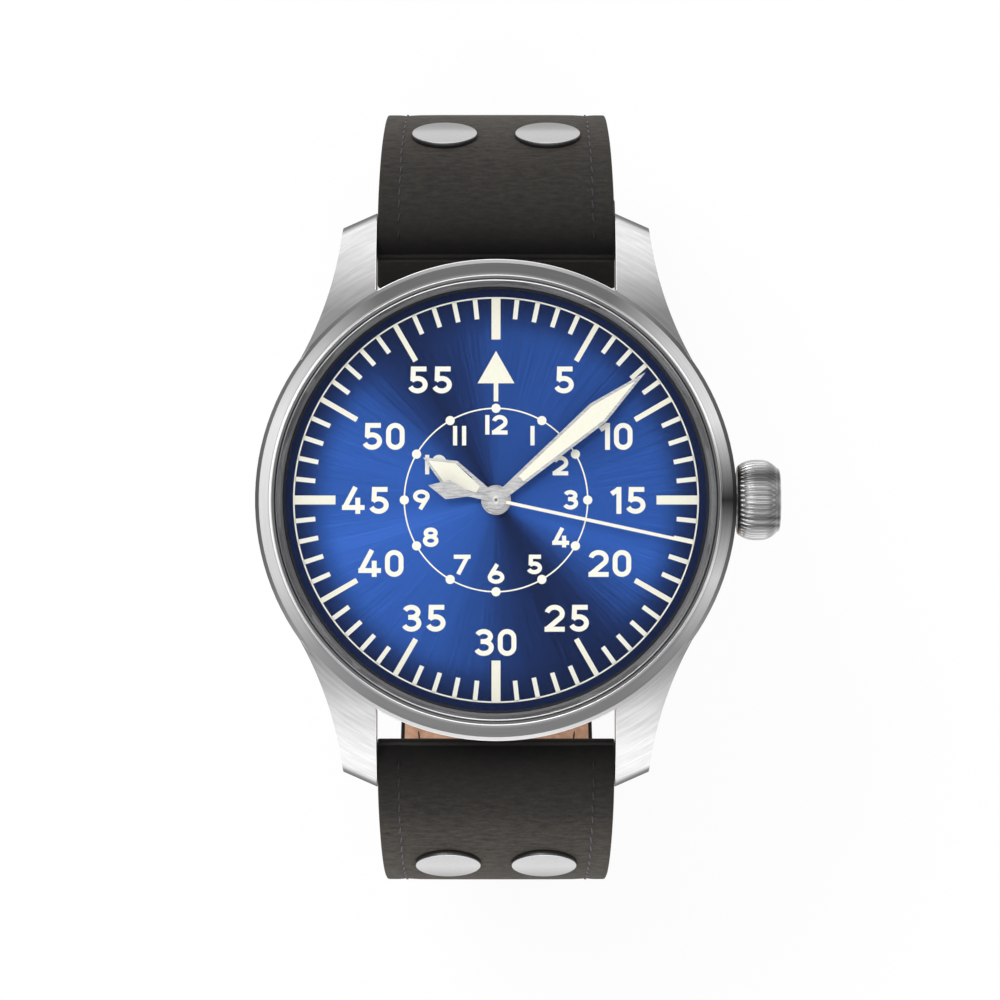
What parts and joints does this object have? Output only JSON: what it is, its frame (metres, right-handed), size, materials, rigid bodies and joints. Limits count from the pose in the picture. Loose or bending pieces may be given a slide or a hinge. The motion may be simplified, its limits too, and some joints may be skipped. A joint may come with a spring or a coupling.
{
  "type": "pilot watch",
  "caption": "Round steel pilot watch with a sunburst dial, three hands, a fluted crown and a riveted leather strap curved round as worn.",
  "frame": {"origin": "centre of the case back's outer face", "axes": "+Z out of the dial towards the reader, +X towards the crown at 3 o'clock, +Y towards 12 o'clock"},
  "size_m": [0.0481, 0.0747, 0.0786],
  "materials": {
    "steel": "circular brushed, polished edges",
    "movement_steel": "satin",
    "brass": "satin",
    "ruby": "polished",
    "dial_blue": "sunburst brushed under lacquer",
    "lume": "matt",
    "hand_steel": "brushed lengthwise",
    "crystal": "clear, coated",
    "gasket": "matt",
    "ring_plastic": "matt",
    "leather": "nubuck",
    "lining": "matt"
  },
  "bodies": {
    "case": {"mid_case": "steel", "crown_tube": "steel", "bezel": "steel", "crystal": "crystal", "crystal_gasket": "gasket", "flange_ring": "steel", "dial": "dial_blue", "dial_markers": "lume", "movement_ring": "ring_plastic", "case_back": "steel", "case_back_gasket": "gasket", "main_plate": "movement_steel", "barrel_bridge": "movement_steel", "train_bridge": "movement_steel", "balance_cock": "movement_steel", "pallet_bridge": "movement_steel", "rotor_bearing": "movement_steel", "spring_bars": "steel"},
    "seconds": {"fourth_wheel": "brass", "second_hand": "hand_steel"},
    "third": {"third_wheel": "brass"},
    "minutes": {"centre_wheel": "brass", "cannon_pinion": "movement_steel", "minute_hand": "hand_steel", "minute_hand_lume": "lume"},
    "barrel": {"mainspring_barrel": "brass", "mainspring": "movement_steel"},
    "minute_works": {"minute_wheel": "brass"},
    "hours": {"hour_wheel": "brass", "hour_hand": "hand_steel", "hour_hand_lume": "lume"},
    "escape": {"escape_wheel": "movement_steel"},
    "pallet": {"pallet_fork": "movement_steel", "pallet_stones": "ruby"},
    "balance": {"balance_wheel": "brass", "impulse_roller": "brass", "hairspring": "movement_steel"},
    "ratchet": {"ratchet_wheel": "movement_steel"},
    "rotor": {"rotor": "movement_steel"},
    "setting": {"setting_lever": "movement_steel"},
    "crown": {"crown": "steel", "winding_stem": "movement_steel", "winding_pinion": "movement_steel"},
    "strap_12": {"strap_12": "leather", "strap_12_lining": "lining", "rivets_12": "steel", "fixed_keeper": "leather", "buckle_bar": "steel"},
    "floating_keeper": {"floating_keeper": "leather"},
    "buckle": {"buckle_frame": "steel"},
    "tang": {"buckle_tang": "steel"},
    "strap_6": {"strap_6": "leather", "strap_6_lining": "lining", "rivets_6": "steel"}
  },
  "joints": [
    {"name": "seconds_spin", "type": "hinge", "parent": "case", "child": "seconds", "pos_m": [0, 0, 0.00965], "axis": [0, 0, -1], "continuous": true},
    {"name": "third_spin", "type": "hinge", "parent": "case", "child": "third", "pos_m": [0.00406, 0.00148, 0.004], "axis": [0, 0, -1], "continuous": true},
    {"name": "minutes_spin", "type": "hinge", "parent": "case", "child": "minutes", "pos_m": [0, 0, 0.0092], "axis": [0, 0, -1], "continuous": true},
    {"name": "barrel_spin", "type": "hinge", "parent": "case", "child": "barrel", "pos_m": [-0.00436, 0.00436, 0.0053], "axis": [0, 0, -1], "continuous": true},
    {"name": "minute_wheel_spin", "type": "hinge", "parent": "case", "child": "minute_works", "pos_m": [-0.00123, -0.00338, 0.0071], "axis": [0, 0, -1], "continuous": true},
    {"name": "hours_spin", "type": "hinge", "parent": "case", "child": "hours", "pos_m": [0, 0, 0.00875], "axis": [0, 0, -1], "continuous": true},
    {"name": "escape_spin", "type": "hinge", "parent": "case", "child": "escape", "pos_m": [0.00111, -0.00414, 0.0053], "axis": [0, 0, -1], "continuous": true},
    {"name": "pallet_rock", "type": "hinge", "parent": "case", "child": "pallet", "pos_m": [-0.00035, -0.00622, 0.0053], "axis": [0, 0, -1], "range_deg": [-5, 5]},
    {"name": "balance_swing", "type": "hinge", "parent": "case", "child": "balance", "pos_m": [-0.00193, -0.00848, 0.0042], "axis": [0, 0, -1], "range_deg": [-150, 150], "deforming": ["hairspring"]},
    {"name": "ratchet_spin", "type": "hinge", "parent": "case", "child": "ratchet", "pos_m": [-0.00436, 0.00436, 0.0037], "axis": [0, 0, -1], "continuous": true},
    {"name": "rotor_spin", "type": "hinge", "parent": "case", "child": "rotor", "pos_m": [0, 0, 0.0023], "axis": [0, 0, -1], "continuous": true},
    {"name": "crown_pull", "type": "slide", "parent": "case", "child": "setting", "axis": [1, 0, 0], "range_m": [0, 0.002]},
    {"name": "crown_turn", "type": "hinge", "parent": "setting", "child": "crown", "pos_m": [0.024, 0, 0.0048], "axis": [1, 0, 0], "continuous": true},
    {"name": "strap_12_hinge", "type": "hinge", "parent": "case", "child": "strap_12", "pos_m": [0, 0.0241, 0.00235], "axis": [1, 0, 0], "range_deg": [0, 95]},
    {"name": "strap_6_hinge", "type": "hinge", "parent": "case", "child": "strap_6", "pos_m": [0, -0.0241, 0.00235], "axis": [-1, 0, 0], "range_deg": [0, 95]},
    {"name": "floating_keeper_slide", "type": "hinge", "parent": "strap_12", "child": "floating_keeper", "pos_m": [0, 0.00421, -0.03376], "axis": [-1, 0, 0], "range_deg": [-14, 2]},
    {"name": "buckle_hinge", "type": "hinge", "parent": "strap_12", "child": "buckle", "pos_m": [0, 0.02205, -0.05953], "axis": [1, 0, 0], "range_deg": [-25, 35]},
    {"name": "tang_hinge", "type": "hinge", "parent": "buckle", "child": "tang", "pos_m": [0, 0.02205, -0.05953], "axis": [1, 0, 0], "range_deg": [0, 70]}
  ],
  "couplings": [
    {"joint": "third_spin", "follows": "seconds_spin", "ratio": -0.13333},
    {"joint": "minutes_spin", "follows": "seconds_spin", "ratio": 0.016667},
    {"joint": "barrel_spin", "follows": "seconds_spin", "ratio": -0.0027778},
    {"joint": "minute_wheel_spin", "follows": "seconds_spin", "ratio": -0.0055556},
    {"joint": "hours_spin", "follows": "seconds_spin", "ratio": 0.0013889},
    {"joint": "escape_spin", "follows": "seconds_spin", "ratio": -10}
  ]
}
